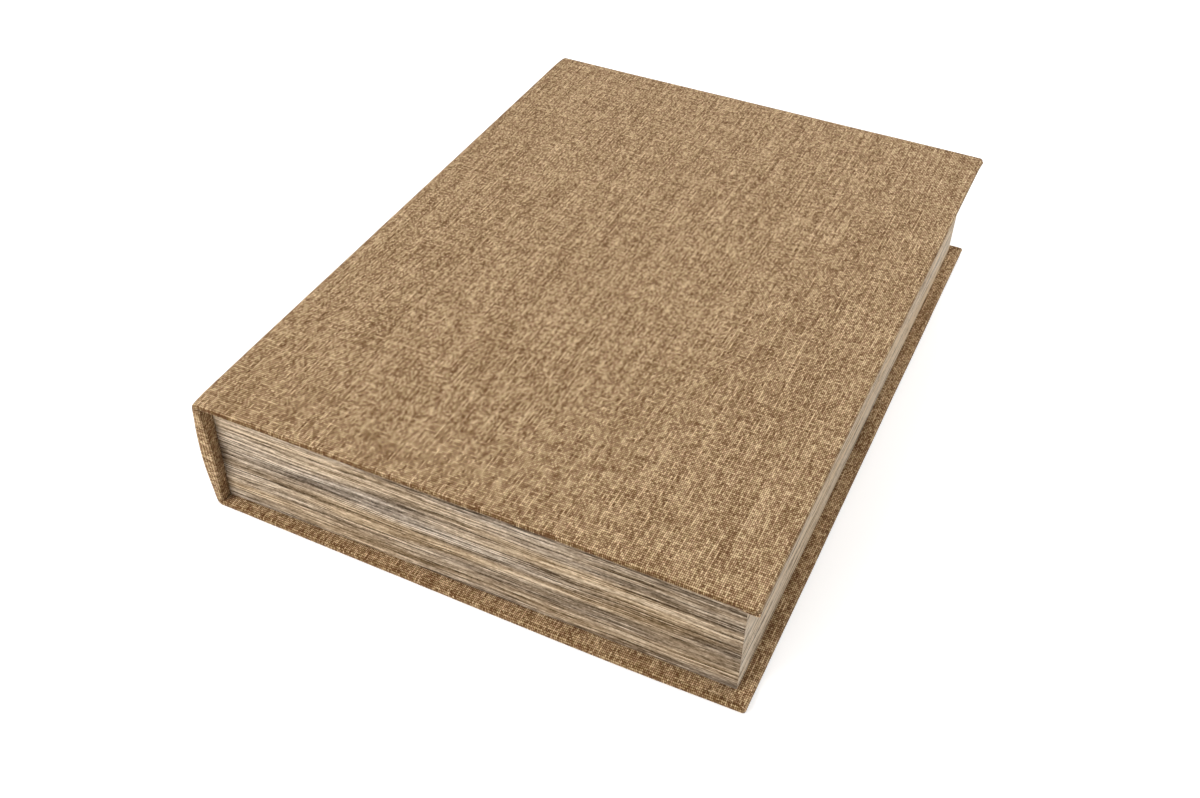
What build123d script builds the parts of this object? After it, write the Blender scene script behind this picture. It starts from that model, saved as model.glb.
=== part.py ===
from build123d import *
import os

# Clamshell (drop-spine) book box for A4 sheets, built as a bookbinder builds it.
#
# A linen-covered case of three boards (lid, spine and base) carries two trays with
# three walls each.  The inner tray stands on the base.  The outer tray hangs from the
# lid, closes over the inner one, and wears paper that looks like the edges of a book.
# The spine turns on the base, and the lid turns on the spine, on cloth joints.
#
# Frame: millimetres, +Z up, origin under the middle of the closed box.
# -X is the spine, +X the fore-edge, -Y the tail and +Y the head.

# ---- What the box holds ----------------------------------------------------------
SHEET_WIDTH = 210.0  # A4, across the box
SHEET_LENGTH = 297.0  # A4, along the spine
FINGER_ROOM = 12.3  # spare width beside the sheets
END_ROOM = 6.0  # spare length, shared by the head and the tail
TRAY_DEPTH = 47.2  # inner tray, from its lining to its rim

# ---- Materials -------------------------------------------------------------------
LINEN = 0.4  # covering linen
CASE_BOARD = 2.2  # greyboard of the lid and the base
SPINE_BOARD = 3.0  # spine board at its long edges
SPINE_BULGE = 1.6  # how far the middle of the spine is rounded out
TRAY_BOARD = 2.0  # floors and walls of both trays
LINING = 0.3  # lining of the trays, the spine and the joints
WALL_PAPER = 0.3  # paper over the tray walls, page-edge paper outside
TURN_IN = 15.0  # linen folded over the edge of a board

# ---- Fits ------------------------------------------------------------------------
NEST_ENDS = 1.1  # inner tray to outer tray, at the head and the tail
NEST_FORE = 2.0  # inner tray to outer tray at the fore-edge, for the swing
RIM_GAP = 1.0  # inner tray's rim to the outer tray's lining
OUTER_RIM_GAP = 0.6  # outer tray's rim to the base
SPINE_END_GAP = 0.3  # long edge of the spine to the slab beside it
OUTER_TRAY_GAP = 0.5  # outer tray's open end to the spine
INNER_TRAY_GAP = 2.4  # inner tray's open end to the spine

# ---- Case ------------------------------------------------------------------------
SQUARE_ENDS = 6.6  # case past the outer tray, at the head and the tail
SQUARE_FORE = 5.9  # case past the outer tray, at the fore-edge
JOINT_CLOTH = 0.6  # linen and lining glued together in a joint
JOINT_RADIUS = 2.2  # outside of the linen where it turns a spine corner
JOINT_FLAP = 0.8  # joint cloth's lap on the flat of a case board, past the turn
HINGE_LAP = 10.0  # hinge lining's lap under a tray floor
EDGE_RADIUS = 0.5  # softened edges of the boards
CORNER_RADIUS = 1.1  # fore-edge corners of the case boards, in plan
SPINE_END_RADIUS = 1.7  # inner edge of the covered spine at the head and the tail
RIM_RADIUS = 0.3  # softened rims of the tray walls

# ---- Sizes that follow -----------------------------------------------------------
slab = LINEN + CASE_BOARD + LINEN  # a covered case board
wall = WALL_PAPER + TRAY_BOARD + WALL_PAPER  # a papered tray wall
spine_depth = SPINE_BULGE + LINEN + SPINE_BOARD + LINEN

inner_half = (SHEET_LENGTH + END_ROOM) / 2 + wall  # inner tray, middle to outer face
outer_half = inner_half + NEST_ENDS + wall
half_length = outer_half + SQUARE_ENDS

cavity_width = SHEET_WIDTH + FINGER_ROOM
width = spine_depth + cavity_width + wall + NEST_FORE + wall + SQUARE_FORE
fore_x = width / 2
outer_fore_x = fore_x - SQUARE_FORE  # page-edge face of the fore-edge wall
inner_fore_x = outer_fore_x - wall - NEST_FORE
spine_x = -width / 2  # outermost line of the rounded spine
edge_x = spine_x + SPINE_BULGE  # spine edge of the lid and the base
joint_x = edge_x + JOINT_CLOTH  # inside of the joint cloth
board_x = joint_x + LINING  # spine edge of the case boards
spine_face_x = spine_x + spine_depth  # inner face of the spine

board_top = LINEN + CASE_BOARD
floor_top = slab + TRAY_BOARD + LINING
inner_rim = floor_top + TRAY_DEPTH
height = inner_rim + RIM_GAP + floor_top
outer_rim = height - slab - OUTER_RIM_GAP  # from the lid's outer face
spine_low = slab + SPINE_END_GAP
spine_high = height - spine_low

# Both hinge lines run inside the linen, at the two outer corners of the spine.
hinge_x = edge_x + LINEN / 2
lower_hinge_z = LINEN / 2
upper_hinge_z = height - LINEN / 2


def block(x, y, z):
    """A rectangular solid between its low and high limits along each axis."""
    low, high = Vector(x[0], y[0], z[0]), Vector(x[1], y[1], z[1])
    size = high - low
    return Pos(*low) * Box(*size, align=(Align.MIN, Align.MIN, Align.MIN))


def along(section, half):
    """A section drawn in X and Z, carried along the box to half each side of its middle."""
    return extrude(Plane.XZ * section, amount=half, both=True)


def notch(left, right, low, high, radius):
    """A section whose corner towards the spine and the table is rounded."""
    corner_at = (Align.MIN, Align.MIN)
    section = Pos(left, low) * Rectangle(right - left, high - low, align=corner_at)
    corner = section.vertices().sort_by(lambda vertex: vertex.X + vertex.Y)[0]
    return fillet(corner, radius)


def soft_slab(left, right, half, low, high, grow, joint_radius):
    """A board or its covered outline, softened at the head, the tail and the fore-edge.

    The radii grow by the thickness of what covers the board."""
    body = block((left, right), (-half, half), (low, high))
    fore_corners = body.edges().filter_by(Axis.Z).group_by(Axis.X)[-1]
    body = fillet(fore_corners, CORNER_RADIUS + grow)
    faces = body.faces().sort_by(Axis.Z)
    around = faces[0].edges() + faces[-1].edges()
    soft = [edge for edge in around if edge.center().X > left + LINEN]
    body = fillet(soft, EDGE_RADIUS + grow)
    return body & along(notch(left, right, low, high, joint_radius), half)


def case_half():
    """The base's board, linen, hinge lining and joint cloth.

    Mirrored about the middle of the box's height, they are the lid's."""
    flap_x = edge_x + JOINT_RADIUS + JOINT_FLAP
    outside = notch(edge_x, flap_x, 0, spine_low, JOINT_RADIUS)
    inner_radius = JOINT_RADIUS - JOINT_CLOTH
    inside = notch(joint_x, fore_x, LINEN, height, inner_radius)
    joint = along(outside - inside, half_length)

    board = soft_slab(
        board_x, fore_x - LINEN, half_length - LINEN, LINEN, board_top, 0, inner_radius
    )

    lap_x = spine_face_x + INNER_TRAY_GAP + HINGE_LAP
    strip = notch(joint_x, lap_x, JOINT_RADIUS, board_top + LINING, LINING / 2)
    covered = notch(board_x, lap_x + LINING, 0, board_top, inner_radius)
    hinge_lining = along(strip - covered, half_length - TURN_IN)

    turned = half_length - TURN_IN
    bare = block((board_x, fore_x - TURN_IN), (-turned, turned), (board_top, slab))
    outline = soft_slab(edge_x, fore_x, half_length, 0, slab, LINEN, JOINT_RADIUS)
    linen = outline - board - joint - hinge_lining - bare
    return {
        "board": board,
        "cover_linen": linen,
        "hinge_lining": hinge_lining,
        "joint_linen": joint,
    }


def bowed(left, right, low, high):
    """The spine's section: flat towards the box and rounded outwards."""
    with BuildSketch() as section:
        with BuildLine():
            ThreePointArc(
                (left, low), (left - SPINE_BULGE, (low + high) / 2), (left, high)
            )
            Polyline((left, high), (right, high), (right, low), (left, low))
        make_face()
    return section.sketch


def end_edges(body, x):
    """The two long edges of a spine's ends that lie nearest to a place in X."""
    ends = body.faces().group_by(Axis.Y)
    upright = [
        edge
        for end in (ends[0], ends[-1])
        for edge in end.edges()
        if edge.length > TURN_IN
    ]
    return sorted(upright, key=lambda edge: abs(edge.center().X - x))[:2]


def spine():
    """The spine board, its linen with the ends turned in, and its lining."""
    edge_low, edge_high = spine_low + LINING, spine_high - LINING
    bare_x = spine_face_x - LINEN  # inner face of the bare board
    board = along(
        bowed(edge_x + LINEN, bare_x, edge_low, edge_high), half_length - LINEN
    )
    board = fillet(end_edges(board, bare_x), SPINE_END_RADIUS - LINEN)

    turned = half_length - TURN_IN
    round_board = notch(
        edge_x + LINEN, bare_x + LINING, spine_low, spine_high, LINING / 2
    )
    inside_it = notch(spine_x, bare_x, edge_low, edge_high, LINING / 2)
    lining = along(round_board - inside_it, turned)

    outline = along(
        bowed(edge_x, spine_face_x, spine_low, spine_high), half_length
    )
    outline = fillet(end_edges(outline, spine_face_x), SPINE_END_RADIUS)
    outline = fillet(end_edges(outline, spine_x), EDGE_RADIUS + LINEN)
    bare = block((bare_x, spine_face_x), (-turned, turned), (spine_low, spine_high))
    return {
        "board": board,
        "cover_linen": outline - board - lining - bare,
        "lining": lining,
    }


def tray_wall(x, y, rim):
    """A wall board standing on the case, with its rim softened."""
    body = block(x, y, (slab, rim))
    return fillet(body.faces().sort_by(Axis.Z)[-1].edges(), RIM_RADIUS)


def tray(start_x, end_x, half, rim):
    """A tray that is open towards the spine: floor, three walls, paper and lining.

    Its limits are those of the finished tray, with its paper on.  It stands on the
    base; the outer tray is built so too, and is mirrored onto the lid."""
    board_start, board_end = start_x + WALL_PAPER, end_x - WALL_PAPER
    board_half, board_rim = half - WALL_PAPER, rim - WALL_PAPER
    inside_x, inside_half = board_end - TRAY_BOARD, board_half - TRAY_BOARD
    room_x, room_half = inside_x - WALL_PAPER, inside_half - WALL_PAPER
    floor_high = slab + TRAY_BOARD

    floor = block(
        (board_start, inside_x), (-inside_half, inside_half), (slab, floor_high)
    )
    head = tray_wall((board_start, inside_x), (inside_half, board_half), board_rim)
    tail = mirror(head, about=Plane.XZ)
    fore = tray_wall((inside_x, board_end), (-board_half, board_half), board_rim)

    # The paper is one strip round all three walls, mitred at the two fore corners.
    room = block((start_x, room_x), (-room_half, room_half), (slab, rim))
    paper = block((start_x, end_x), (-half, half), (slab, rim)) - room
    rim_edges = paper.faces().sort_by(Axis.Z)[-1].edges()
    paper = fillet(rim_edges, RIM_RADIUS + WALL_PAPER)
    paper = paper - floor - head - tail - fore
    tail_mitre = Plane((end_x, -half, 0), z_dir=(1, 1, 0))
    head_mitre = Plane((end_x, half, 0), z_dir=(1, -1, 0))
    tail_paper = split(paper, bisect_by=tail_mitre, keep=Keep.BOTTOM)
    rest = split(paper, bisect_by=tail_mitre, keep=Keep.TOP)

    lining_z = (floor_high, floor_high + LINING)
    return {
        "floor": floor,
        "head_wall": head,
        "tail_wall": tail,
        "fore_wall": fore,
        "head_paper": split(rest, bisect_by=head_mitre, keep=Keep.BOTTOM),
        "tail_paper": tail_paper,
        "fore_paper": split(rest, bisect_by=head_mitre, keep=Keep.TOP),
        "floor_lining": block((board_start, room_x), (-room_half, room_half), lining_z),
    }


def assemble():
    """Every piece of the closed box, by the name of its node."""
    mid_height = Plane.XY.offset(height / 2)
    inner_start = spine_face_x + INNER_TRAY_GAP
    outer_start = spine_face_x + OUTER_TRAY_GAP
    inner_tray = tray(inner_start, inner_fore_x, inner_half, inner_rim)
    outer_tray = tray(outer_start, outer_fore_x, outer_half, outer_rim)

    pieces = {}
    for name, piece in case_half().items():
        joint = name == "joint_linen"
        pieces["lower_joint_linen" if joint else f"base_{name}"] = piece
        over = mirror(piece, about=mid_height)
        pieces["upper_joint_linen" if joint else f"lid_{name}"] = over
    for name, piece in spine().items():
        pieces[f"spine_{name}"] = piece
    for name, piece in inner_tray.items():
        pieces[f"inner_tray_{name}"] = piece
    for name, piece in outer_tray.items():
        name = name.replace("paper", "page_edge_paper")
        pieces[f"outer_tray_{name}"] = mirror(piece, about=mid_height)
    return pieces


pieces = assemble()
os.makedirs("parts", exist_ok=True)
for name, piece in pieces.items():
    export_step(piece, f"parts/{name}.step")

print(f"{len(pieces)} pieces, {width:.1f} x {2 * half_length:.1f} x {height:.1f} mm")
print(f"hinge lines at x {hinge_x:.2f}, z {lower_hinge_z:.2f} and {upper_hinge_z:.2f}")
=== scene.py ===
"""Looks of the clamshell book box: a linen case whose trays wear page-edge paper.

Sizes are millimetres, in the frame of the solids: +Z up, origin under the middle of the
closed box, -X the spine, +X the fore-edge, -Y the tail and +Y the head.
"""

from __future__ import annotations

import logging
import math
from collections.abc import Callable
from dataclasses import dataclass, field, replace
from enum import Enum

import bpy
import numpy as np
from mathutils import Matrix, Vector, noise

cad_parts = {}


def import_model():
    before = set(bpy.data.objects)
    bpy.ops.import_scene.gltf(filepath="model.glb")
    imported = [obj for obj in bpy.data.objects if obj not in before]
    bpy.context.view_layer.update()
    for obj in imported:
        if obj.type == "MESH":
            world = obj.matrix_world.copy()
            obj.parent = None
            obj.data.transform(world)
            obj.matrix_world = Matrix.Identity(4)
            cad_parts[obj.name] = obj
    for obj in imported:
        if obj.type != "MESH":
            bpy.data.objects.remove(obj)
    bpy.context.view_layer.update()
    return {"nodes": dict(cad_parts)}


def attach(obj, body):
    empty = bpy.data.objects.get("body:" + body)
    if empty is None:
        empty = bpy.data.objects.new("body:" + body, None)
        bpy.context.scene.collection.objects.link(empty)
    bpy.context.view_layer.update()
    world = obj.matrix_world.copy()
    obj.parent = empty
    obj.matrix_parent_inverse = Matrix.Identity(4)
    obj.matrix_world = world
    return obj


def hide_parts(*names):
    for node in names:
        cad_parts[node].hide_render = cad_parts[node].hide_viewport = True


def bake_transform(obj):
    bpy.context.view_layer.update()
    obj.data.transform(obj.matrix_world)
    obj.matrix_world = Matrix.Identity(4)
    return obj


MM = 0.001
CLOTH_MAP = "cloth"  # UV map of a cloth piece: its flat place in millimetres
SEED = 1795578808  # of the unevenness, which is the same in every run
LOG = logging.getLogger("book_box")

Point = tuple[float, float, float]
Stops = tuple[tuple[float, str], ...]
Tree, Socket = bpy.types.NodeTree, bpy.types.NodeSocket


# ---- Helpers -----------------------------------------------------------------------


def linear(hex_colour: str) -> tuple[float, float, float, float]:
    """Turns an sRGB hex colour to linear.

    Args:
        hex_colour: Six hex digits after a hash.

    Returns:
        Red, green, blue and alpha for a shader socket.
    """
    parts = [int(hex_colour[i : i + 2], 16) / 255 for i in (1, 3, 5)]
    return (
        *(c / 12.92 if c <= 0.04045 else ((c + 0.055) / 1.055) ** 2.4 for c in parts),
        1.0,
    )


def add(tree: Tree, kind: str, *values: object, inputs: dict | None = None, **settings: object) -> Socket:
    """Adds a node with its settings and links.

    Args:
        tree: The tree that gets the node.
        kind: The node's type, without ShaderNode before it.
        values: A value, or a socket to link from, for each of its first inputs.
        inputs: The same for named or numbered inputs.
        settings: Properties of the node itself.

    Returns:
        The node's first output, or nothing for a node that has none.
    """
    made = tree.nodes.new(f"ShaderNode{kind}")
    for name, value in settings.items():
        setattr(made, name, value)
    for key, value in (*enumerate(values), *(inputs or {}).items()):
        if isinstance(value, Socket):
            tree.links.new(value, made.inputs[key])
        else:
            made.inputs[key].default_value = value
    return made.outputs[0] if made.outputs else None


def ramp_stops(ramp: Socket, stops: Stops) -> Socket:
    """Gives a colour ramp its stops.

    Args:
        ramp: The ramp's output.
        stops: Place and hex colour of each stop, in rising order.

    Returns:
        The same output.
    """
    elements = ramp.node.color_ramp.elements
    while len(elements) < len(stops):
        elements.new(1.0)
    for element, (place, colour) in zip(elements, stops):
        element.position = place
        element.color = linear(colour)
    return ramp


def new_material(name: str) -> tuple[bpy.types.Material, Tree]:
    """Makes a material with an empty tree.

    Args:
        name: The finish's name.

    Returns:
        The material and its tree.
    """
    material = bpy.data.materials.new(name)
    material.use_nodes = True
    material.node_tree.nodes.clear()
    return material, material.node_tree


def place_in_mm(tree: Tree) -> Socket:
    """The place on the piece in millimetres, by Object coordinates."""
    place = add(tree, "TexCoord").node.outputs["Object"]
    return add(tree, "Mapping", inputs={"Vector": place, "Scale": (1 / MM, 1 / MM, 1 / MM)})


def seen_by_eye(tree: Tree) -> Socket:
    """Finds the rays in which the studio's white shows.

    Args:
        tree: The tree of the floor or the world.

    Returns:
        1 for a ray from the camera or through a gloss or a clear thing, and 0 for light.
    """
    path = add(tree, "LightPath").node
    seen = path.outputs["Is Camera Ray"]
    for ray in ("Is Glossy Ray", "Is Transmission Ray"):
        seen = add(tree, "Math", seen, path.outputs[ray], operation="MAXIMUM")
    return seen


def only(piece: bpy.types.Object) -> None:
    """Makes a piece the one selected and active object."""
    bpy.ops.object.select_all(action="DESELECT")
    piece.select_set(True)
    bpy.context.view_layer.objects.active = piece


def in_edit(piece: bpy.types.Object, *steps: Callable[[], object]) -> None:
    """Runs edit-mode operators on all of a piece's mesh.

    Args:
        piece: The piece to edit.
        steps: Calls without arguments, run in order with everything selected.
    """
    only(piece)
    bpy.ops.object.mode_set(mode="EDIT")
    bpy.ops.mesh.select_mode(type="VERT")
    bpy.ops.mesh.select_all(action="SELECT")
    for step in steps:
        step()
    bpy.ops.object.mode_set(mode="OBJECT")


def delete_faces(piece: bpy.types.Object, unwanted: Callable[[Vector], bool]) -> None:
    """Deletes the faces whose middle is unwanted.

    Args:
        piece: The piece to cut.
        unwanted: Says of a face's middle, in millimetres, whether it goes.
    """
    only(piece)
    bpy.ops.object.mode_set(mode="EDIT")
    bpy.ops.mesh.select_mode(type="FACE")
    bpy.ops.mesh.select_all(action="DESELECT")
    bpy.ops.object.mode_set(mode="OBJECT")
    for face in piece.data.polygons:
        face.select = bool(unwanted(face.center / MM))
    bpy.ops.object.mode_set(mode="EDIT")
    bpy.ops.mesh.delete(type="FACE")
    bpy.ops.object.mode_set(mode="OBJECT")


def thicken(piece: bpy.types.Object, thickness: float) -> None:
    """Gives a sheet its thickness, on the side away from the eye.

    Args:
        piece: The sheet.
        thickness: Its thickness in millimetres.
    """
    only(piece)
    modifier = piece.modifiers.new("Thickness", "SOLIDIFY")
    modifier.thickness = thickness * MM
    modifier.offset = -1.0
    modifier.use_rim = True
    bpy.ops.object.modifier_apply(modifier=modifier.name)


def smooth(piece: bpy.types.Object, angle: float = 35) -> None:
    """Shades a piece smooth, with edges sharper than an angle in degrees kept sharp."""
    only(piece)
    bpy.ops.object.shade_smooth_by_angle(angle=math.radians(angle), keep_sharp_edges=False)


def fold_grid(name: str, shape: tuple[int, int]) -> bpy.types.Object:
    """Starts a sheet as a flat grid.

    Args:
        name: The piece's name.
        shape: How many vertices it has each way.

    Returns:
        The piece, one metre each way and centred on the origin.
    """
    bpy.ops.object.select_all(action="DESELECT")
    bpy.ops.mesh.primitive_grid_add(x_subdivisions=shape[0] - 1, y_subdivisions=shape[1] - 1, size=1.0)
    piece = bpy.context.object
    piece.name = piece.data.name = name
    return piece


def set_folded(piece: bpy.types.Object, places: np.ndarray, spread: np.ndarray) -> None:
    """Moves a sheet's vertices to their places and keeps their flat places in a map.

    Args:
        piece: The sheet.
        places: The place of each vertex, in millimetres.
        spread: Its place on the flat cloth, in millimetres.
    """
    piece.data.vertices.foreach_set("co", (places * MM).ravel())
    while piece.data.uv_layers:
        piece.data.uv_layers.remove(piece.data.uv_layers[0])
    layer = piece.data.uv_layers.new(name=CLOTH_MAP)
    corners = [loop.vertex_index for loop in piece.data.loops]
    layer.data.foreach_set("uv", spread[corners].ravel())
    piece.data.update()


# ---- Finishes ----------------------------------------------------------------------


@dataclass(frozen=True)
class ThreadSet:
    """One set of parallel threads in a cloth's material."""

    turns: Socket  # place across the set, in threads
    number: Socket  # which thread it is
    tone: Socket


@dataclass(frozen=True)
class WovenCloth:
    """Plain-woven cloth glued on board.

    The eye sees single threads with thick and thin places, dark gaps between them and a
    matt surface that lights up a little at grazing angles.
    """

    name: str
    warp_pitch: float  # mm between threads that run along the spine
    weft_pitch: float  # mm between threads that run across the boards
    stops: Stops
    slub: float = 1.0  # how uneven the threads are
    relief: float = 0.5
    depth: float = 0.16  # mm that the crown of a thread stands out
    sheen: float = 0.05
    mapped: bool = True  # the piece has a map of its flat cloth
    weft_contrast: float = 0.6  # how much the weft's threads differ in tone, against the warp's
    # A thread changes tone every so many mm, by this share.
    stretches: tuple[tuple[float, float], ...] = ((40.0, 0.38), (9.0, 0.3), (3.0, 0.42))
    bends: tuple[float, float] = (0.03, 0.025)  # how many to a mm, across and along a thread
    bend: float = 1.0  # mm that they lead it aside
    gaps: float = 1.2  # how dark they are
    crossings: float = 0.52  # how much one differs from the next
    fibres: float = 0.5  # how much they show
    painted_edge_shade: float = 0.32  # painted shade: how much darker the cloth is drawn over the head and tail edges of the boards

    def make(self) -> bpy.types.Material:
        """Makes the cloth's material.

        Returns:
            A material on the piece's own map of its flat cloth, or on Object coordinates.
        """
        material, tree = new_material(self.name)
        across, along = self._flat_place(tree)
        warp = self._threads(tree, across, along, self.warp_pitch, 0.0, 1.0)
        weft = self._threads(tree, along, across, self.weft_pitch, 11.0, self.weft_contrast)
        warp_height = self._height(tree, warp, weft, 0.0)
        weft_height = self._height(tree, weft, warp, 1.0)
        higher = add(tree, "Math", warp_height, weft_height, operation="SUBTRACT")
        over = add(tree, "MapRange", higher, -0.12, 0.12, 0.0, 1.0)
        top = add(tree, "Math", warp_height, weft_height, operation="MAXIMUM")
        # A thread that dives under still shows a little between its neighbours.
        mixed = add(tree, "MapRange", over, 0.0, 1.0, 0.25, 0.85)
        total = add(tree, "Mix", inputs={0: mixed, 2: weft.tone, 3: warp.tone}, data_type="FLOAT")
        pair = add(tree, "CombineXYZ", warp.number, weft.number)
        crossing = add(tree, "TexWhiteNoise", pair, noise_dimensions="2D")
        flat = add(tree, "CombineXYZ", across, along)
        fuzz, cloud = (
            add(tree, "TexNoise", flat, inputs={"Scale": scale, "Detail": 1.0, "Roughness": 0.6})
            for scale in (1.6, 0.06)
        )
        parts = [
            (top, 0.72, self.gaps),
            (crossing, 0.5, self.crossings * self.slub),
            (fuzz, 0.5, self.fibres * self.slub),
            (cloud, 0.5, 0.06),
        ]
        # Painted shade: the cloth is drawn darker where it goes over the head and tail edges of the
        # boards, full on the lid and half on the base.
        if self.mapped:
            parts.append((self._painted_edge_shade_mask(tree, across, along), 0.0, -self.painted_edge_shade))
        for value, centre, amount in parts:
            share = add(tree, "Math", value, amount, -centre * amount, operation="MULTIPLY_ADD")
            total = add(tree, "Math", total, share, operation="ADD")
        dyed = ramp_stops(add(tree, "ValToRGB", total), self.stops)
        # Each thread took the colour a little differently, some redder and some more olive.
        hue = add(tree, "MapRange", crossing, 0.0, 1.0, 0.49, 0.51)
        height = add(tree, "Math", fuzz, 0.5, top, operation="MULTIPLY_ADD")
        shader = add(
            tree,
            "BsdfPrincipled",
            inputs={
                "Base Color": add(tree, "HueSaturation", inputs={"Hue": hue, "Color": dyed}),
                "Roughness": 0.9,
                "IOR": 1.5,
                "Specular IOR Level": 0.2,
                "Sheen Weight": self.sheen,
                "Sheen Roughness": 0.5,
                "Normal": add(
                    tree,
                    "Bump",
                    inputs={"Strength": self.relief, "Distance": self.depth * MM, "Height": height},
                ),
            },
        )
        add(tree, "OutputMaterial", shader)
        return material

    def _flat_place(self, tree: Tree) -> tuple[Socket, Socket]:
        """Finds the place on the flat cloth.

        Args:
            tree: The material's tree.

        Returns:
            Millimetres across the warp and along it.
        """
        if self.mapped:
            flat = add(tree, "SeparateXYZ", add(tree, "UVMap", uv_map=CLOTH_MAP)).node.outputs
            return flat[0], flat[1]
        place = add(tree, "SeparateXYZ", place_in_mm(tree)).node.outputs
        # The lining lies flat on a board or stands against the spine, so X or Z runs across it.
        return add(tree, "Math", place[0], place[2], operation="ADD"), place[1]

    def _painted_edge_shade_mask(self, tree: Tree, across: Socket, along: Socket) -> Socket:
        """Finds where shade is painted: where the cloth goes over the head and tail edges of the lid and
        the base.

        Args:
            tree: The material's tree.
            across: Millimetres across the warp on the flat cloth.
            along: Millimetres along the warp on the flat cloth.

        Returns:
            1 over the lid's edges, half of it over the base's, and 0 elsewhere.
        """
        case = Case()
        # The edge starts 0.1 mm past half the length and is 3.8 mm of cloth wide.
        reach = add(tree, "Math", along, operation="ABSOLUTE")
        into = add(tree, "MapRange", reach, case.half - 0.3, case.half + 0.5)
        out_of = add(tree, "MapRange", reach, case.half + 4.5, case.half + 3.0)
        at_edge = add(tree, "Math", into, out_of, operation="MULTIPLY")
        # The spine's cloth lies between the lid's and the base's, 26 mm each way and a joint.
        spine = case.flat_at_spine - case.spine_cloth_length / 2
        lid = add(tree, "MapRange", across, spine + 28, spine + 31)
        base = add(tree, "MapRange", across, spine - 28, spine - 31, 0.0, 0.5)
        board = add(tree, "Math", lid, base, operation="ADD")
        return add(tree, "Math", at_edge, board, operation="MULTIPLY")

    def _threads(
        self, tree: Tree, across: Socket, along: Socket, pitch: float, seed: float, contrast: float
    ) -> ThreadSet:
        """Lays one set of parallel threads.

        Args:
            tree: The material's tree.
            across: Millimetres across the threads.
            along: Millimetres along the threads.
            pitch: Millimetres between threads.
            seed: Keeps the two sets of threads apart.
            contrast: How much the threads of the set differ in tone.

        Returns:
            The set.
        """
        wide, long = (
            add(tree, "Math", place, bends, operation="MULTIPLY")
            for place, bends in zip((across, along), self.bends)
        )
        spot = add(tree, "CombineXYZ", wide, long, seed)
        wander = add(tree, "TexNoise", spot, inputs={"Scale": 1.0, "Detail": 1.0})
        shifted = add(tree, "Math", wander, self.bend * self.slub, across, operation="MULTIPLY_ADD")
        turns = add(tree, "Math", shifted, 1 / pitch, operation="MULTIPLY")
        number = add(tree, "Math", turns, operation="FLOOR")
        # Neighbours change tone at different places.
        start = add(tree, "Math", number, 0.618, operation="MULTIPLY")
        tone: Socket | float = 0.5
        for length, weight in self.stretches:
            stretch = add(tree, "Math", along, 1 / length, start, operation="MULTIPLY_ADD")
            part = add(tree, "Math", stretch, operation="FLOOR")
            spot = add(tree, "CombineXYZ", number, part, seed + length)
            amount = weight * contrast * self.slub
            grain = add(tree, "TexWhiteNoise", spot)
            share = add(tree, "Math", grain, amount, -0.5 * amount, operation="MULTIPLY_ADD")
            tone = add(tree, "Math", share, tone, operation="ADD")
        return ThreadSet(turns, number, tone)

    def _height(self, tree: Tree, own: ThreadSet, other: ThreadSet, shift: float) -> Socket:
        """Works out how high one set of threads stands where it dives over and under.

        Args:
            tree: The material's tree.
            own: The set whose height is wanted.
            other: The set it crosses.
            shift: 0 for the warp and 1 for the weft, which goes under where the warp goes over.

        Returns:
            Height from 0 to 1.
        """
        part = add(tree, "Math", own.turns, operation="FRACT")
        half_turn = add(tree, "Math", part, math.pi, operation="MULTIPLY")
        crown = add(tree, "Math", half_turn, operation="SINE")
        both = add(tree, "Math", own.number, other.turns, operation="ADD")
        phase = add(tree, "Math", both, math.pi, (shift - 0.5) * math.pi, operation="MULTIPLY_ADD")
        dive = add(tree, "Math", phase, operation="COSINE")
        wave = add(tree, "Math", dive, 0.3, 0.7, operation="MULTIPLY_ADD")
        return add(tree, "Math", crown, wave, operation="MULTIPLY")


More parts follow.
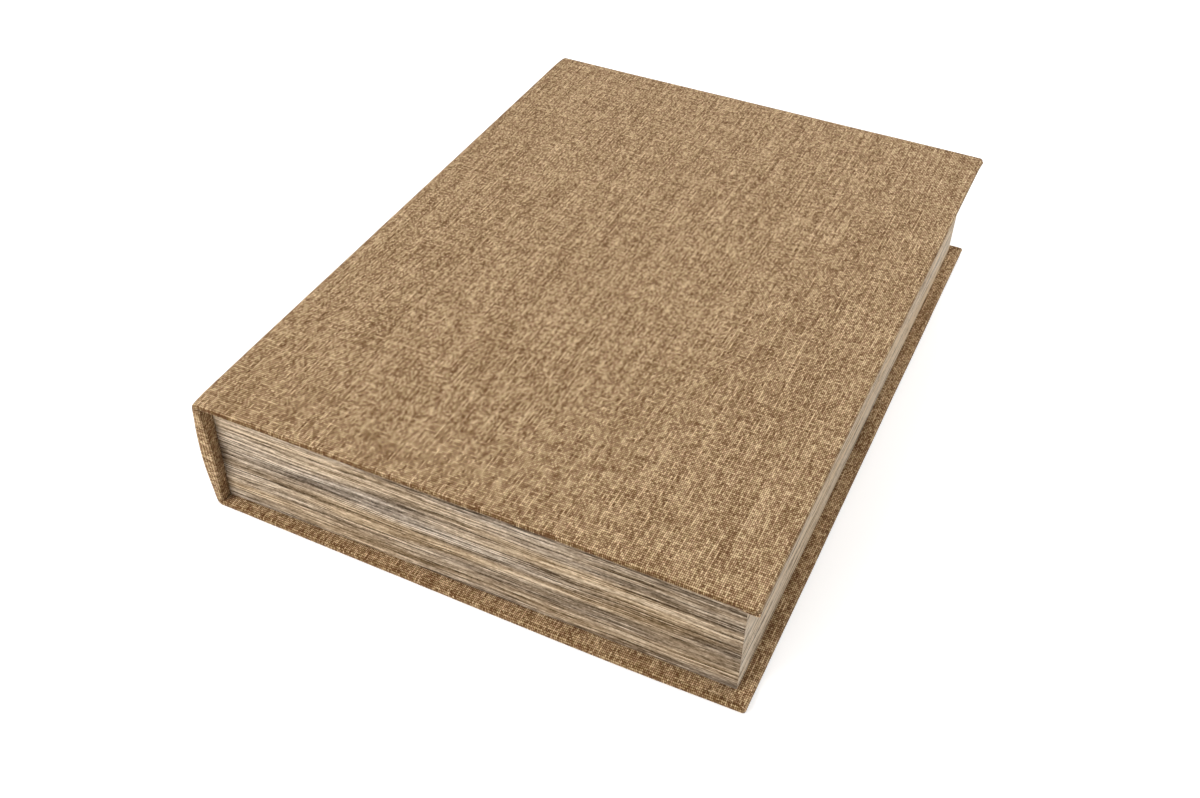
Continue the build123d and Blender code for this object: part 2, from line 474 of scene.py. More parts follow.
@dataclass(frozen=True)
class PageEdgePaper:
    """Uncoated paper printed or marbled as a stack of old page edges.

    The eye sees long thin streaks parallel to the boards, from pale grey beige to umber, with
    crisp hairlines between them, all matt.
    """

    name: str
    lengthwise: bool  # the wall runs along the spine, and not across the boards
    seed: float
    tone: float = 0.0  # how much paler than the ramp's middle
    drift: float = 0.0  # how much darker 100 mm further on
    # Real leaves are 0.1 mm thick.  They are drawn five times as coarse, so that they show.
    page: float = 0.54
    streaks: tuple[tuple[float, int, float], ...] = (  # length in mm, height in pages, and share
        (1.5, 1, 0.65),
        (5.0, 1, 0.75),
        (14.0, 1, 0.9),
        (34.0, 1, 1.2),
        (110.0, 1, 1.6),
        (60.0, 3, 0.3),
        (110.0, 16, 0.3),
    )
    soft_from: int = 10  # streaks as high as so many pages run into each other
    sways: tuple[float, float] = (0.02, 0.05)  # how many to a mm, along the streaks and in height
    sway: float = 2.5  # mm
    stops: Stops = (
        (0.0, "#443525"),
        (0.25, "#73614c"),
        (0.5, "#9b8770"),
        (0.75, "#c2ae95"),
        (1.0, "#e9d5bb"),
    )

    def make(self) -> bpy.types.Material:
        """Makes the paper's material.

        Returns:
            A material on Object coordinates, whose streaks follow the wall.
        """
        material, tree = new_material(self.name)
        place = add(tree, "SeparateXYZ", place_in_mm(tree)).node.outputs
        along, depth = (place[1], place[0]) if self.lengthwise else (place[0], place[1])
        # The streaks sag and rise a little, as the edges of pages do.
        long, high = (
            add(tree, "Math", value, sways, operation="MULTIPLY")
            for value, sways in zip((along, place[2]), self.sways)
        )
        spot = add(tree, "CombineXYZ", long, high, self.seed)
        sway = add(tree, "TexNoise", spot, inputs={"Scale": 1.0, "Detail": 1.0})
        level = add(tree, "Math", sway, self.sway, place[2], operation="MULTIPLY_ADD")
        pages = add(tree, "Math", level, 1 / self.page, operation="MULTIPLY")
        total = add(tree, "Math", along, -self.drift / 100, 0.5 + self.tone, operation="MULTIPLY_ADD")
        # Each layer of streaks is cut from another depth of the same noise.
        deep = [
            add(tree, "Math", depth, 0.03, self.seed + 3.1 * layer, operation="MULTIPLY_ADD")
            for layer in range(len(self.streaks))
        ]
        for (length, count, weight), inside in zip(self.streaks, deep):
            level = add(tree, "Math", pages, 1 / count, operation="MULTIPLY")
            if count < self.soft_from:
                # Leaves lie next to each other, but far apart in the noise, so they differ.
                level = add(tree, "Math", level, operation="FLOOR")
                level = add(tree, "Math", level, 2.618, operation="MULTIPLY")
            far = add(tree, "Math", along, 1 / length, operation="MULTIPLY")
            spot = add(tree, "CombineXYZ", far, level, inside)
            grain = add(tree, "TexNoise", spot, inputs={"Scale": 1.0, "Detail": 1.0, "Roughness": 0.6})
            share = add(tree, "Math", grain, weight, -0.5 * weight, operation="MULTIPLY_ADD")
            total = add(tree, "Math", share, total, operation="ADD")
        inked = ramp_stops(add(tree, "ValToRGB", total), self.stops)
        # Some leaves are greyer and some have gone brown.
        aged = add(tree, "MapRange", grain, 0.3, 0.7, 0.8, 1.2)
        relief = {"Strength": 0.25, "Distance": 0.05 * MM, "Height": total}
        shader = add(
            tree,
            "BsdfPrincipled",
            inputs={
                "Base Color": add(tree, "HueSaturation", inputs={"Saturation": aged, "Color": inked}),
                "Roughness": 0.7,
                "IOR": 1.5,
                "Specular IOR Level": 0.12,
                "Normal": add(tree, "Bump", inputs=relief),
            },
        )
        add(tree, "OutputMaterial", shader)
        return material


@dataclass(frozen=True)
class FibrousSheet:
    """Greyboard or lining paper: pulp pressed flat, with fibres and specks in it."""

    name: str
    stops: Stops
    fibre: float  # mm, size of the flecks
    roughness: float
    cloud: float = 0.03  # how many pale and dark places to a mm

    def make(self) -> bpy.types.Material:
        """Makes the sheet's material on Object coordinates.

        Returns:
            A matt material with fine flecks.
        """
        material, tree = new_material(self.name)
        place = place_in_mm(tree)
        total: Socket | float = -0.1
        for scale, weight in ((1 / self.fibre, 0.55), (0.25 / self.fibre, 0.35), (self.cloud, 0.3)):
            grain = add(tree, "TexNoise", place, inputs={"Scale": scale, "Detail": 3.0, "Roughness": 0.6})
            total = add(tree, "Math", grain, weight, total, operation="MULTIPLY_ADD")
        relief = {"Strength": 0.3, "Distance": 0.05 * MM, "Height": total}
        shader = add(
            tree,
            "BsdfPrincipled",
            inputs={
                "Base Color": ramp_stops(add(tree, "ValToRGB", total), self.stops),
                "Roughness": self.roughness,
                "IOR": 1.45,
                "Specular IOR Level": 0.3,
                "Normal": add(tree, "Bump", inputs=relief),
            },
        )
        add(tree, "OutputMaterial", shader)
        return material


class Finish(Enum):
    """The finishes of the box, one for each kind of surface."""

    COVER_LINEN = WovenCloth(
        "undyed slubby book linen",
        # Threads as far apart as in the photo.
        warp_pitch=0.74,
        weft_pitch=1.0,
        stops=((0.0, "#5a3c1c"), (0.25, "#846541"), (0.5, "#aa8b65"), (0.75, "#cdad87"), (1.0, "#efd0aa")),
    )
    LINING_CLOTH = WovenCloth(
        "fine lining cloth",
        warp_pitch=0.6,
        weft_pitch=0.6,
        stops=((0.1, "#715a40"), (0.5, "#9b8163"), (0.9, "#b99f7e")),
        slub=0.5,
        relief=0.3,
        mapped=False,
    )
    TAIL_PAGES = PageEdgePaper("page-edge paper across", False, 2.0, tone=-0.01, drift=0.06)
    HEAD_PAGES = PageEdgePaper("page-edge paper across, head", False, 31.0)
    # The fore wall's paper is drawn paler than the tail's and the head's: painted light, for the light
    # that falls on the fore wall.
    FORE_PAGES = PageEdgePaper("page-edge paper along", True, 57.0, tone=0.38, page=0.9)
    GREYBOARD = FibrousSheet(
        "raw greyboard", ((0.2, "#8a8073"), (0.5, "#a2988a"), (0.8, "#b8afa1")), 0.8, 0.9
    )
    TRAY_PAPER = FibrousSheet(
        "uncoated lining paper", ((0.2, "#c3b698"), (0.5, "#d2c6ab"), (0.8, "#ddd3bc")), 1.2, 0.85
    )

    def material(self) -> bpy.types.Material:
        """The finish's material, made the first time it is asked for."""
        return bpy.data.materials.get(self.value.name) or self.value.make()


# ---- Cloth round the edges of boards -------------------------------------------------

FLAT_RINGS, OUTER_RINGS, STRAIGHT_RINGS, INNER_RINGS, TURNED_RINGS = 3, 6, 3, 5, 5
MERGED, SLIVER = 0.004, 0.002  # mm, between vertices that are one and over a face that is none


@dataclass(frozen=True)
class Hem:
    """How cloth goes round the edge of a covered board, seen across that edge."""

    thickness: float  # mm, board and both layers of cloth
    outer: float  # mm, radius of the arris on the outside
    inner: float  # mm, radius of the arris on the inside
    corner: float = 2.4  # mm from the edge at which the rings start
    turned: float = 15.0  # mm of cloth on the inside

    def rings(self) -> np.ndarray:
        """Places the rings of vertices that go round the edge.

        Returns:
            Outset from the edge, depth under the outer face and length of cloth from the
            first ring, in a row for each ring.
        """
        thick = self.thickness
        outer = min(self.outer, 0.9 * thick)
        inner = min(self.inner, thick - outer)
        rows = [
            (-self.corner + share * (self.corner - outer), 0.0)
            for share in np.linspace(0, 1, FLAT_RINGS + 1)
        ]
        for turn in np.linspace(0, math.pi / 2, OUTER_RINGS + 1)[1:]:
            rows.append((outer * (math.sin(turn) - 1), outer * (1 - math.cos(turn))))
        for share in np.linspace(0, 1, STRAIGHT_RINGS + 1)[1:]:
            rows.append((0.0, outer + share * (thick - outer - inner)))
        for turn in np.linspace(0, math.pi / 2, INNER_RINGS + 1)[1:]:
            rows.append((inner * (math.cos(turn) - 1), thick - inner * (1 - math.sin(turn))))
        for share in np.linspace(0, 1, TURNED_RINGS + 1)[1:]:
            rows.append((-inner - share * (self.turned - inner), thick))
        places = np.array(rows)
        steps = np.hypot(*np.diff(places, axis=0).T)
        return np.column_stack([places, np.concatenate([[0], np.cumsum(steps)])])


RINGS = len(Hem(3, 0.9, 0.7).rings())
EDGE_RINGS = range(FLAT_RINGS + 1, RINGS - TURNED_RINGS)  # from the outer to the inner face


@dataclass
class Case:
    """The outline that the linen of the whole case follows, at rest."""

    width: float = 240.8
    length: float = 328.8
    height: float = 58.8
    slab: float = 3.0  # a covered board
    spine_inside: float = -115.0
    spine_reach: float = 26.1  # half the height of the spine board and its linen
    bulge: float = 1.6
    joint_turn: float = 1.9  # radius at which the linen turns a spine corner
    joint_flap: float = -115.8  # where the joint strip meets the linen of a board
    joint_cloth: float = 0.6
    unevenness: float = 0.11
    waves: tuple[tuple[float, float], ...] = ((38.0, 1.0), (11.0, 0.45))  # mm long, and share
    # The tail edge of the base was cut a little out of square: places in X, mm it lies further in.
    skew_at: tuple[float, ...] = (-120.0, -85.0, -40.0, 0.0, 40.0, 85.0, 120.0)
    skew: tuple[float, ...] = (2.1, 1.6, 0.85, 0.3, -0.4, -0.5, 0.0)
    pulled_in: float = 0.6  # how far the spine's four corners are drawn in
    pull_reach: float = 7.0  # mm from the head or the tail at which that starts
    end_padding: float = 1.7  # how much thicker the spine's folded ends are, on the inside
    end_reach: float = 5.6  # mm from the head or the tail at which that starts

    @property
    def half(self) -> float:
        """Half the length."""
        return self.length / 2

    @property
    def fore(self) -> float:
        """Place of the fore-edge."""
        return self.width / 2

    @property
    def middle(self) -> float:
        """Half the height."""
        return self.height / 2

    @property
    def round_radius(self) -> float:
        """Radius of the rounded spine."""
        return (self.spine_reach**2 + self.bulge**2) / (2 * self.bulge)

    @property
    def round_centre(self) -> float:
        """Place in X of the centre of the spine's round."""
        return -self.fore + self.round_radius

    def spine_x(self, z: float) -> float:
        """Place in X of the rounded spine at a height."""
        return self.round_centre - math.sqrt(self.round_radius**2 - (z - self.middle) ** 2)

    @property
    def turn_centre(self) -> tuple[float, float]:
        """Centre in X and Z of the upper spine corner round which the linen turns."""
        z = self.height - self.joint_turn
        reach = self.round_radius - self.joint_turn
        return self.round_centre - math.sqrt(reach**2 - (z - self.middle) ** 2), z

    @property
    def joint_cloth_length(self) -> float:
        """Length of a joint's linen from the flat of a board to the spine."""
        places = np.array([station[:2] for station in self.joint_path()])
        return float(np.hypot(*np.diff(places, axis=0).T).sum())

    @property
    def spine_cloth_length(self) -> float:
        """Length of the spine's linen between the joints."""
        return 2 * self.round_radius * math.asin(self.spine_reach / self.round_radius)

    @property
    def flat_at_spine(self) -> float:
        """Place on the flat cloth where the upper joint passes into the spine."""
        return self.joint_flap - self.joint_cloth_length

    def joint_path(self) -> list[tuple[float, float, float, float]]:
        """The outside of the linen from the flat of the lid round to the spine.

        Returns:
            Place in X and Z and the direction inwards in X and Z of each station.
        """
        turn = self.joint_turn
        centre_x, centre_z = self.turn_centre
        last = math.atan2(centre_z - self.middle, self.round_centre - centre_x)
        stations = [(self.joint_flap, self.height, 0.0, -1.0)]
        for angle in np.linspace(math.pi / 2, last, 13):
            side, up = math.cos(angle), math.sin(angle)
            stations.append((centre_x - turn * side, centre_z + turn * up, side, -up))
        low = self.middle + self.spine_reach
        start = stations[-1][1]
        for z in np.linspace(start, low, 5)[1:]:
            slope = (z - self.middle) / self.round_radius
            stations.append((self.spine_x(z), z, math.sqrt(1 - slope**2), -slope))
        return stations

    def hand_made(self, points: np.ndarray) -> np.ndarray:
        """Moves points a little, as hand-cut board and hand-glued cloth are never dead true.

        Args:
            points: Places in millimetres, one in a row.

        Returns:
            The moved places.  A place always moves the same way, so pieces still meet.
        """
        moved = points.copy()
        for row in moved:
            for size, share in self.waves:
                row += np.array(noise.noise_vector(Vector(row) / size)) * self.unevenness * share
        # Each change comes in over a few millimetres, so that no line shows where it starts.
        x, y, z = points.T
        off = np.interp(x, self.skew_at, self.skew) * np.clip(1 - z / (self.height - self.slab), 0, 1) ** 2
        moved[:, 1] += off * np.clip(-y / self.half, 0, 1)
        past = np.abs(y) - self.half
        from_middle = np.abs(z - self.middle) / self.middle
        at_end = np.clip((past + self.pull_reach) / self.pull_reach, 0, 1) ** 2
        at_spine = np.clip((-114 - x) / 4, 0, 1)
        pull = self.pulled_in * at_end * np.clip(from_middle, 0, 1) ** 4 * at_spine
        moved[:, 0] += pull
        moved[:, 2] -= 0.5 * pull * np.sign(z - self.middle)
        # The folded ends of the spine are thicker than the board between them.
        past_tray = np.clip((past + self.end_reach) / 3, 0, 1)
        inside = np.clip((x + 119) / 3.5, 0, 1) * np.clip((-112 - x) / 2, 0, 1)
        moved[:, 0] += self.end_padding * past_tray * inside * np.clip(1.3 - 1.7 * from_middle, 0, 1)
        return moved


@dataclass(frozen=True)
class Column:
    """One line of cloth across the length of the box: a place on the case's outline."""

    x: float
    z: float
    inward: tuple[float, float]
    hem: Hem
    flat: float  # place on the flat cloth
    edge_ring: int = 0  # on the long edge of a board, the ring whose depth it has
    fore_ring: int = 0  # round the fore-edge, the ring it is on

    def long_edge(self, step: float) -> list[Column]:
        """The columns down the board's long edge under this one, a step apart on the flat cloth."""
        return [replace(self, flat=self.flat + step * ring, edge_ring=ring) for ring in EDGE_RINGS]


@dataclass
class ClothPiece:
    """A piece of the covering cloth, folded from a flat grid round its board."""

    name: str
    case: Case
    columns: list[Column]
    rows: int = 56

    def build(self, flipped: bool = False) -> bpy.types.Object:
        """Folds the piece.

        Args:
            flipped: The piece belongs to the base, as the lid's mirrored in height.

        Returns:
            The piece, with its flat place in a map.
        """
        case = self.case
        start = case.half - self.columns[0].hem.corner
        middle = np.linspace(-start, start, self.rows)
        shape = len(self.columns), 2 * (RINGS - 1) + len(middle)
        piece = fold_grid(self.name, shape)
        folded = np.zeros((*shape, 3))
        flat = np.zeros((*shape, 2))
        for i, column in enumerate(self.columns):
            for j in range(shape[1]):
                folded[i, j], flat[i, j] = self._place(column, *self._row(j, middle))
        grid = np.array([vertex.co for vertex in piece.data.vertices])
        column_of = np.rint((grid[:, 0] + 0.5) * (shape[0] - 1)).astype(int)
        row_of = np.rint((grid[:, 1] + 0.5) * (shape[1] - 1)).astype(int)
        places = folded[column_of, row_of]
        spread = flat[column_of, row_of]
        if flipped:
            places[:, 2] = case.height - places[:, 2]
            under = 2 * case.flat_at_spine - case.spine_cloth_length
            spread = np.column_stack([under - spread[:, 0], spread[:, 1]])
        set_folded(piece, case.hand_made(places), spread)
        in_edit(
            piece,
            lambda: bpy.ops.mesh.remove_doubles(threshold=MERGED * MM),
            lambda: bpy.ops.mesh.dissolve_degenerate(threshold=SLIVER * MM),
            *([bpy.ops.mesh.flip_normals] if flipped else []),
        )
        return piece

    def _row(self, j: int, middle: np.ndarray) -> tuple[int, float, float]:
        """Says which ring and end of the box a row is on.

        Args:
            j: Number of the row from the tail.
            middle: Places of the rows between the two ends.

        Returns:
            The ring (0 between the ends), the end (-1 tail, 1 head) and the place in Y.
        """
        rings = RINGS - 1
        if j < rings:
            return rings - j, -1.0, middle[0]
        if j >= rings + len(middle):
            return j - rings - len(middle) + 1, 1.0, middle[-1]
        y = middle[j - rings]
        return 0, math.copysign(1.0, y), y

    def _place(
        self, column: Column, ring: int, side: float, y: float
    ) -> tuple[Point, tuple[float, float]]:
        """Works out where a point of the flat cloth ends up.

        Args:
            column: The column.
            ring: The ring round the tail or the head.
            side: -1 at the tail and 1 at the head.
            y: Place in Y, for ring 0.

        Returns:
            The place in space and the place on the flat cloth.
        """
        case, rings = self.case, column.hem.rings()
        half = case.half
        spread = y if ring == 0 else side * (half - column.hem.corner + rings[ring, 2])
        if column.fore_ring:
            return self._corner(column, rings, ring, side, y), (column.flat, spread)
        outset, depth = rings[ring, 0], rings[ring, 1]
        reach = abs(y) if ring == 0 else half + outset
        x, z = column.x, column.z
        if column.edge_ring and ring < column.edge_ring:
            depth = rings[column.edge_ring, 1]
            reach = min(reach, half + rings[column.edge_ring, 0])
        x, z = x + column.inward[0] * depth, z + column.inward[1] * depth
        if column.inward[0] == 0 and outset + column.hem.corner < 0:
            x = min(x, case.fore + outset)
        return (x, side * reach, z), (column.flat, spread)

    def _corner(self, column: Column, rings: np.ndarray, ring: int, side: float, y: float) -> Point:
        """Carries cloth round the fore-edge and the corners beside it.

        Args:
            column: A column on the fore-edge.
            rings: The hem's rings.
            ring: The ring round the tail or the head.
            side: -1 at the tail and 1 at the head.
            y: Place in Y, for ring 0.

        Returns:
            The place in space.
        """
        case, hem = self.case, column.hem
        most = max(ring, column.fore_ring)
        outset, depth = rings[most, 0], rings[most, 1]
        z = case.height - depth
        if ring == 0:
            reach = abs(y)
            if outset + hem.corner < 0:
                reach = min(reach, case.half + outset)
            return case.fore + outset, side * reach, z
        if outset + hem.corner < 0:
            return case.fore + outset, side * (case.half + outset), z
        least = min(ring, column.fore_ring) / most
        angle = math.pi / 4 * least
        if ring > column.fore_ring:
            angle = math.pi / 2 - angle
        radius = hem.corner + outset
        return (
            case.fore - hem.corner + radius * math.cos(angle),
            side * (case.half - hem.corner + radius * math.sin(angle)),
            z,
        )


@dataclass
class CoveredBoard:
    """The lid's or the base's covering linen, with its turn-ins and folded corners."""

    case: Case
    is_lid: bool
    columns_across: int = 42
    arris: tuple[float, float] = (0.9, 1.2)  # mm, radius on the outside and on the inside
    corners: tuple[float, float] = (1.3, 1.9)  # mm from the edge where it starts, on base and lid
    arris_at_joint: float = 0.6  # on the outside, growing to the full radius
    arris_grows: float = 8.0  # mm over which it does
    under_joint: tuple[float, float] = (0.05, 0.5)  # the same radii under the joint strip
    clearance: float = 0.06  # mm under the joint strip
    linen: float = 0.4  # mm

    @property
    def body(self) -> str:
        """The body that the board is."""
        return "lid" if self.is_lid else "base"

    def build(self) -> bpy.types.Object:
        """Builds the linen of the board.

        Returns:
            The piece.
        """
        case = self.case
        top, inside = case.height, case.height - case.slab
        outer, inner = self.arris
        corner = self.corners[self.is_lid]
        hem = Hem(case.slab, outer, inner, corner=corner)
        down = (0.0, -1.0)
        start = case.joint_flap
        # Behind the joint strip the board's own edge is rounded, under the strip's inner face.
        turn_x, turn_z = case.turn_centre
        radius = case.joint_turn - case.joint_cloth - self.clearance
        under = [(start, top - case.joint_cloth - self.clearance)]
        for angle in np.linspace(math.pi / 2, math.radians(20), 5):
            under.append((turn_x - radius * math.cos(angle), turn_z + radius * math.sin(angle)))
        back_x, back_z = under[-1]
        last = Hem(back_z - inside, *self.under_joint, corner=corner)
        hidden = start - 3.0  # on the flat cloth, under the joint strip
        columns = Column(back_x, back_z, down, last, hidden).long_edge(-0.1)[::-1]
        for k, (x, z) in enumerate(reversed(under)):
            at_joint = Hem(z - inside, *self.under_joint, corner=corner)
            columns.append(Column(x, z, down, at_joint, hidden + 0.5 * k))
        for x in np.linspace(start, case.fore - hem.corner, self.columns_across):
            grown = min(1.0, (x - start) / self.arris_grows)
            rounded = self.arris_at_joint + (outer - self.arris_at_joint) * grown
            columns.append(Column(x, top, down, Hem(case.slab, rounded, inner, corner=corner), x))
        rings = hem.rings()
        for ring in range(1, RINGS):
            flat = case.fore - hem.corner + rings[ring, 2]
            columns.append(Column(case.fore, top, down, hem, flat, fore_ring=ring))
        piece = ClothPiece(f"{self.body}_linen", case, columns).build(flipped=not self.is_lid)
        inner_half = case.half - hem.turned
        delete_faces(piece, lambda at: at.x < start - 0.02 and abs(at.y) < inner_half)
        thicken(piece, self.linen)
        smooth(piece)
        piece.data.materials.append(Finish.COVER_LINEN.material())
        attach(piece, self.body)
        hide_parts(f"{self.body}_cover_linen", f"{self.body}_board")
        return piece


@dataclass
class TurnInFlap:
    """The end of a board's fore-edge turn-in, over the turn-in beside it, its cut edge a little up."""

    case: Case
    is_lid: bool
    at_head: bool
    wide: float = 17.6  # mm of cloth in from the fore-edge
    cut_back: tuple[float, float] = (3.1, 0.25)  # mm from the board's end, inside and at the fore-edge
    thickness: float = 0.35
    bend: float = 0.7  # mm, radius round the board's fore-edge
    up: float = 1.0  # mm of air under the cut edge
    sunk_after: float = 7.5  # mm from the board's end at which it has sunk in under the tray
    rows: int = 11
    flat_at: float = 330.0  # on the flat cloth, clear of the other pieces

    def _stations(self) -> list[tuple[float, float, float, float, float]]:
        """Lays out the flap's length, from under the tray round the fore-edge.

        Returns:
            Place in X and Z on the lid's linen, direction away from it, and share of the
            thickness, of each station.
        """
        fore, bend = self.case.fore, self.bend
        inside = self.case.height - self.case.slab
        stations = [(x, inside, 0.0, -1.0, 1.0) for x in np.linspace(fore - self.wide, fore - bend, 9)]
        for angle in np.linspace(math.pi / 2, 0, 6)[1:]:
            side, down = math.cos(angle), -math.sin(angle)
            stations.append((fore - bend + bend * side, inside + bend + bend * down, side, down, 0.9))
        stations.append((fore, inside + bend + 0.5, 1.0, 0.0, -0.2))
        return stations

    def build(self) -> bpy.types.Object:
        """Builds the flap.

        Returns:
            The piece.
        """
        case, stations = self.case, self._stations()
        body = "lid" if self.is_lid else "base"
        end = "head" if self.at_head else "tail"
        piece = fold_grid(f"{body}_{end}_turn_in_flap", (len(stations), self.rows))
        grid = np.array([vertex.co for vertex in piece.data.vertices])
        places, spread = np.zeros((len(grid), 3)), np.zeros((len(grid), 2))
        for k, (across, along, _) in enumerate(grid):
            x, z, side, down, share = stations[round((across + 0.5) * (len(stations) - 1))]
            reach = (x - stations[0][0]) / self.wide
            near = self.cut_back[0] + reach * (self.cut_back[1] - self.cut_back[0])
            sunk = (along + 0.5) ** 1.5
            y = case.half - near - sunk * (self.sunk_after + 1.5 - near)
            air = self.up * math.sin(math.pi * max(0.0, min(1.0, reach))) ** 0.7
            lift = (self.thickness + air) * share * (1 - sunk) ** 1.6 - 0.1 * sunk
            places[k] = (x + side * lift, y if self.at_head else -y, z + down * lift)
            spread[k] = (self.flat_at + x - z, y)
        if not self.is_lid:
            places[:, 2] = case.height - places[:, 2]
        set_folded(piece, case.hand_made(places), spread)
        if self.is_lid != self.at_head:
            in_edit(piece, bpy.ops.mesh.flip_normals)
        thicken(piece, self.thickness)
        smooth(piece)
        piece.data.materials.append(Finish.COVER_LINEN.material())
        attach(piece, body)
        return piece


@dataclass
class RoundedSpine:
    """The spine's linen, turned in at the head and the tail over soft ends."""

    case: Case
    columns_high: int = 25
    soft: tuple[float, float] = (0.6, 1.6)  # mm, radius of the ends' outer arris at a joint and between
    softens: float = 6.0  # mm from a joint at which it has the full radius
    inner: float = 1.0  # mm, radius of their inner arris
    lined_from: tuple[float, float] = (-118.0, 0.15)  # place in X, and mm in from the joint
    linen: float = 0.38  # mm

    def build(self) -> bpy.types.Object:
        """Builds the linen of the spine.

        Returns:
            The piece.
        """
        case = self.case
        middle, reach, radius = case.middle, case.spine_reach, case.round_radius
        columns: list[Column] = []
        for z in np.linspace(middle - reach, middle + reach, self.columns_high):
            x = case.spine_x(z)
            turned = math.asin(reach / radius) - math.asin((z - middle) / radius)
            away = min(1.0, (reach - abs(z - middle)) / self.softens)
            softened = self.soft[0] + (self.soft[1] - self.soft[0]) * away
            hem = Hem(case.spine_inside - x, softened, self.inner)
            columns.append(Column(x, z, (1.0, 0.0), hem, case.flat_at_spine - turned * radius))
        first, last = columns[0], columns[-1]
        columns = first.long_edge(-0.2)[::-1] + columns + last.long_edge(0.2)
        piece = ClothPiece("spine_linen", case, columns).build()
        inner_half = case.half - first.hem.turned
        # Between the turned-in ends the spine's long edges have lining cloth and no linen.
        lined_x, lined_in = self.lined_from
        delete_faces(
            piece,
            lambda at: abs(at.y) < inner_half and abs(at.z - middle) > reach - lined_in and at.x > lined_x,
        )
        thicken(piece, self.linen)
        smooth(piece)
        piece.data.materials.append(Finish.COVER_LINEN.material())
        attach(piece, "spine")
        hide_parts("spine_cover_linen", "spine_board")
        return piece


@dataclass
class ClothJoint:
    """The strip of linen and lining on which the spine turns."""

    case: Case
    upper: bool
    arris: tuple[float, float] = (0.52, 0.06)  # mm, radius of the strip's ends outside and inside

    def build(self) -> bpy.types.Object:
        """Builds a joint strip between the spine and a board.

        Returns:
            The piece.
        """
        case = self.case
        path = case.joint_path()
        columns: list[Column] = []
        flat = case.joint_flap
        hem = Hem(case.joint_cloth, *self.arris, turned=case.half)
        for k, (x, z, inward_x, inward_z) in enumerate(path):
            if k:
                flat -= math.hypot(x - path[k - 1][0], z - path[k - 1][1])
            columns.append(Column(x, z, (inward_x, inward_z), hem, flat))
        name = "upper_joint" if self.upper else "lower_joint"
        piece = ClothPiece(name, case, columns[::-1]).build(flipped=not self.upper)
        in_edit(
            piece,
            lambda: bpy.ops.mesh.select_all(action="DESELECT"),
            bpy.ops.mesh.select_non_manifold,
            bpy.ops.mesh.fill,
        )
        smooth(piece)
        piece.data.materials.append(Finish.COVER_LINEN.material())
        # Where the strip meets the spine and the board: the last four stations lie on the spine.
        first, last = path[1], path[-5]
        at_spine, at_board = ((station[0] * MM, 0.0, station[1] * MM) for station in (last, first))
        if self.upper:
            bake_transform(piece)
        else:
            at_spine, at_board = ((x, y, case.height * MM - z) for x, y, z in (at_spine, at_board))
            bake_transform(piece)
        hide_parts(f"{name}_linen")
        return piece


# ---- The trays and the boards --------------------------------------------------------


@dataclass
class CarriedOver:
    """The solids that keep their own shape and get a finish."""

    finishes: dict[str, Finish] = field(
        default_factory=lambda: {
            "outer_tray_tail_page_edge_paper": Finish.TAIL_PAGES,
            "outer_tray_head_page_edge_paper": Finish.HEAD_PAGES,
            "outer_tray_fore_page_edge_paper": Finish.FORE_PAGES,
            "inner_tray_head_paper": Finish.TRAY_PAPER,
            "inner_tray_tail_paper": Finish.TRAY_PAPER,
            "inner_tray_fore_paper": Finish.TRAY_PAPER,
            "inner_tray_floor_lining": Finish.TRAY_PAPER,
            "outer_tray_floor_lining": Finish.TRAY_PAPER,
            "base_hinge_lining": Finish.LINING_CLOTH,
            "lid_hinge_lining": Finish.LINING_CLOTH,
            "spine_lining": Finish.LINING_CLOTH,
        }
    )

    def dress(self, nodes: dict[str, bpy.types.Object]) -> None:
        """Gives every solid that is still shown its material.

        Args:
            nodes: The frame's solids by name.
        """
        for name, solid in nodes.items():
            if solid.hide_render:
                continue
            finish = self.finishes.get(name, Finish.GREYBOARD)
            solid.data.materials.clear()
            solid.data.materials.append(finish.material())


# ---- The studio ------------------------------------------------------------------------


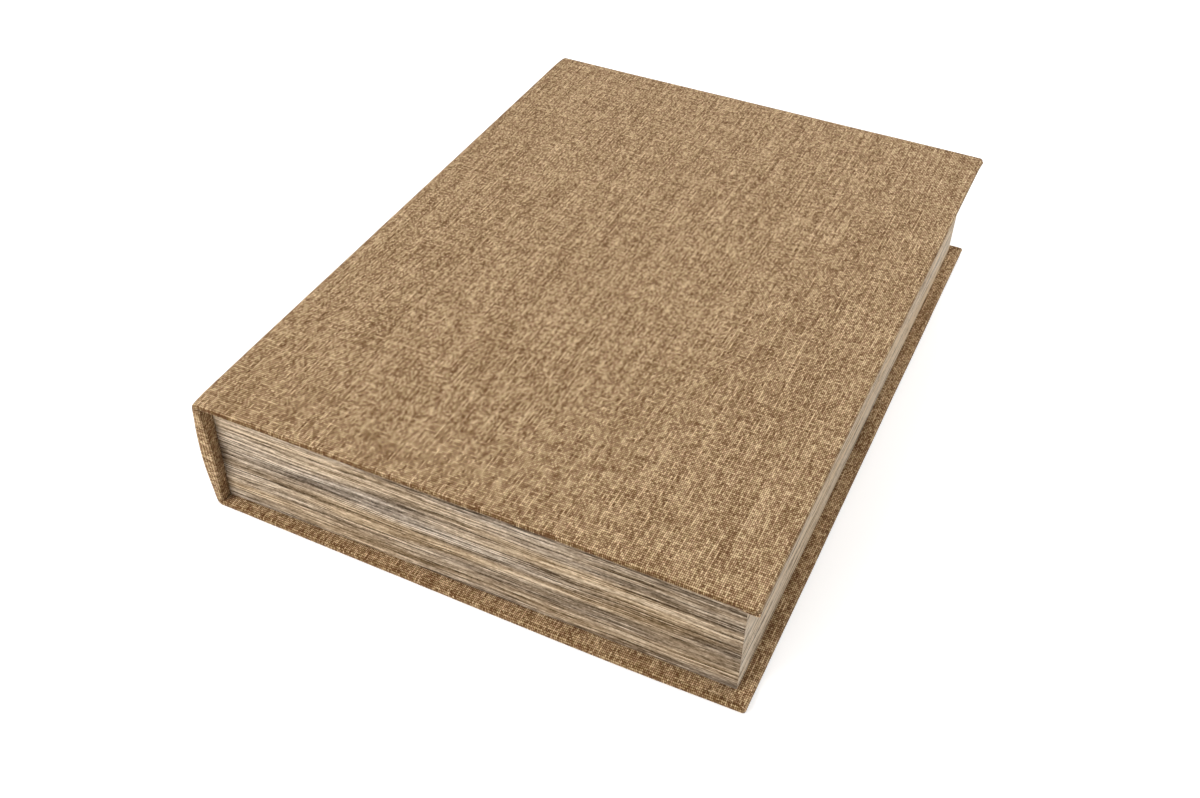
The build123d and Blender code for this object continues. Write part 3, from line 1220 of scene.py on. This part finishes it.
@dataclass
class Studio:
    """White table, soft light and the camera."""

    camera_at: Point = (189.39, -453.79, 409.68)
    camera_turn: Point = (48.674, -1.135, 25.291)  # degrees
    lens: float = 39.977
    table: float = 30.0  # m
    table_drop: float = 0.3
    table_white: float = 0.8
    glow: float = 0.54  # of the table near the box, which takes a soft shadow there
    glow_grows: tuple[float, float] = (0.5, 1.2)  # m from the box, where the lamps fade
    sky: float = 0.2
    lamp_size: float = 800.0
    lamps: tuple[tuple[str, Point, float], ...] = (  # place in mm, and watts
        ("high front left", (-700.0, -900.0, 1100.0), 11.8),
        ("low front", (-450.0, -1350.0, 500.0), 8.0),
        ("back", (0.0, 1250.0, 1000.0), 10.0),
        ("back right", (1000.0, 900.0, 900.0), 9.0),
    )

    def build(self) -> None:
        """Sets up the floor, the world, the lamps, the camera and the view settings."""
        bpy.context.scene.view_settings.view_transform = "Standard"
        self._table()
        self._world()
        for name, at, power in self.lamps:
            self._lamp(name, at, power)
        self._camera()

    def _table(self) -> None:
        """Lays the white table, which glows more far from the box, so that it stays white there."""
        bpy.ops.object.select_all(action="DESELECT")
        bpy.ops.mesh.primitive_plane_add(size=self.table, location=(0, 0, -self.table_drop * MM))
        table = bpy.context.object
        table.name = "white_table"
        material, tree = new_material("white table")
        place = add(tree, "TexCoord").node.outputs["Object"]
        away = add(tree, "VectorMath", place, operation="LENGTH").node.outputs["Value"]
        seen = seen_by_eye(tree)
        glow = add(tree, "MapRange", away, *self.glow_grows, self.glow, 1.0)
        strength = add(tree, "Math", seen, glow, operation="MULTIPLY")
        emission = add(tree, "Emission", inputs={"Strength": strength})
        matt = add(tree, "BsdfDiffuse", (self.table_white, self.table_white, self.table_white, 1.0))
        add(tree, "OutputMaterial", add(tree, "AddShader", emission, matt))
        table.data.materials.append(material)

    def _world(self) -> None:
        """Makes the world plain light, seen as white."""
        world = bpy.data.worlds.new("white room")
        bpy.context.scene.world = world
        world.use_nodes = True
        tree = world.node_tree
        tree.nodes.clear()
        strength = add(tree, "MapRange", seen_by_eye(tree), 0.0, 1.0, self.sky, 1.0)
        add(tree, "OutputWorld", add(tree, "Background", (1.0, 1.0, 1.0, 1.0), strength))

    def _lamp(self, name: str, at: Point, power: float) -> None:
        """Adds a square soft lamp that points at the box.

        Args:
            name: The lamp's name.
            at: Its place in millimetres.
            power: Its power in watts.
        """
        place = Vector(at) * MM
        bpy.ops.object.light_add(type="AREA", location=place)
        lamp = bpy.context.object
        lamp.name = name
        lamp.data.size = self.lamp_size * MM
        lamp.data.energy = power
        lamp.rotation_euler = (-place).to_track_quat("-Z", "Y").to_euler()

    def _camera(self) -> None:
        """Puts the camera where the photograph was taken from."""
        data = bpy.data.cameras.new("camera")
        camera = bpy.data.objects.new("camera", data)
        bpy.context.scene.collection.objects.link(camera)
        camera.location = Vector(self.camera_at) * MM
        camera.rotation_euler = [math.radians(angle) for angle in self.camera_turn]
        data.sensor_width = 36.0
        data.lens = self.lens
        data.clip_start = 0.01
        bpy.context.scene.camera = camera


def main() -> None:
    """Builds the box and the studio, piece by piece."""
    logging.basicConfig(level=logging.INFO, format="%(name)s: %(message)s")
    noise.seed_set(SEED)
    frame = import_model()
    case = Case()
    builders = [
        CoveredBoard(case, is_lid=True),
        CoveredBoard(case, is_lid=False),
        RoundedSpine(case),
        ClothJoint(case, upper=True),
        ClothJoint(case, upper=False),
        *(TurnInFlap(case, is_lid, at_head) for is_lid in (True, False) for at_head in (True, False)),
    ]
    for builder in builders:
        piece = builder.build()
        LOG.info("%s: %d faces", piece.name, len(piece.data.polygons))
    CarriedOver().dress(frame["nodes"])
    Studio().build()
    LOG.info("studio ready")


if __name__ == "__main__":
    main()
